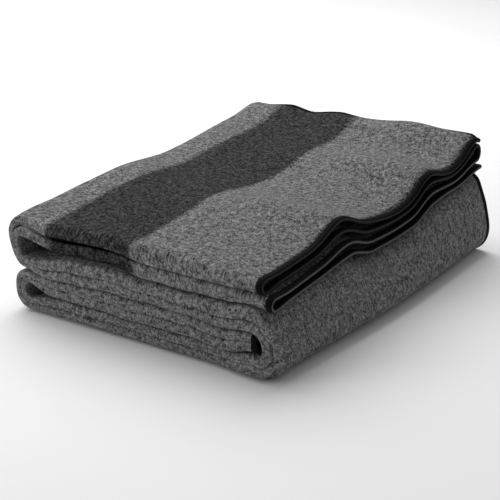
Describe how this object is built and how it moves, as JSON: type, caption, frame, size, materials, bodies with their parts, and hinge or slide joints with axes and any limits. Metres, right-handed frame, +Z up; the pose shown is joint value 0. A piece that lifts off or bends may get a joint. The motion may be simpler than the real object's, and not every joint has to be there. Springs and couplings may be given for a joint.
{
  "type": "camp blanket",
  "caption": "Folded wool camp blanket: heather cloth with a dark stripe and overlocked edges, pleated and folded in quarters, with a top quarter that folds open.",
  "frame": {"origin": "middle of the bottom face, on the surface that the blanket lies on", "axes": "+Z up, +X towards the visible cut hems and the big fold loop, -Y towards the narrow fold spines, +Y along the fold loops"},
  "size_m": [0.43, 0.566, 0.173],
  "materials": {
    "wool": "napped heather wool, charcoal with a darker stripe",
    "overlock": "matte black overlock thread"
  },
  "bodies": {
    "folded_stack": {"bottom_quarter": "wool", "tucked_quarter": "wool", "upper_quarter": "wool", "lower_left_loop": "wool", "upper_left_loop": "wool", "big_right_loop": "wool", "tucked_hem_overlock": "overlock", "bottom_quarter_short_edge": "overlock", "tucked_quarter_short_edge": "overlock", "upper_quarter_short_edge": "overlock"},
    "top_flap": {"top_quarter": "wool", "hem_overlock_1": "overlock", "hem_overlock_2": "overlock", "hem_overlock_3": "overlock", "hem_overlock_4": "overlock", "top_quarter_short_edge": "overlock"}
  },
  "joints": [
    {"name": "top_flap_fold", "type": "hinge", "parent": "folded_stack", "child": "top_flap", "pos_m": [-0.215, 0, 0.107], "axis": [0, -0.9986, -0.0529], "range_deg": [0, 90], "deforming": ["upper_left_loop"]}
  ]
}
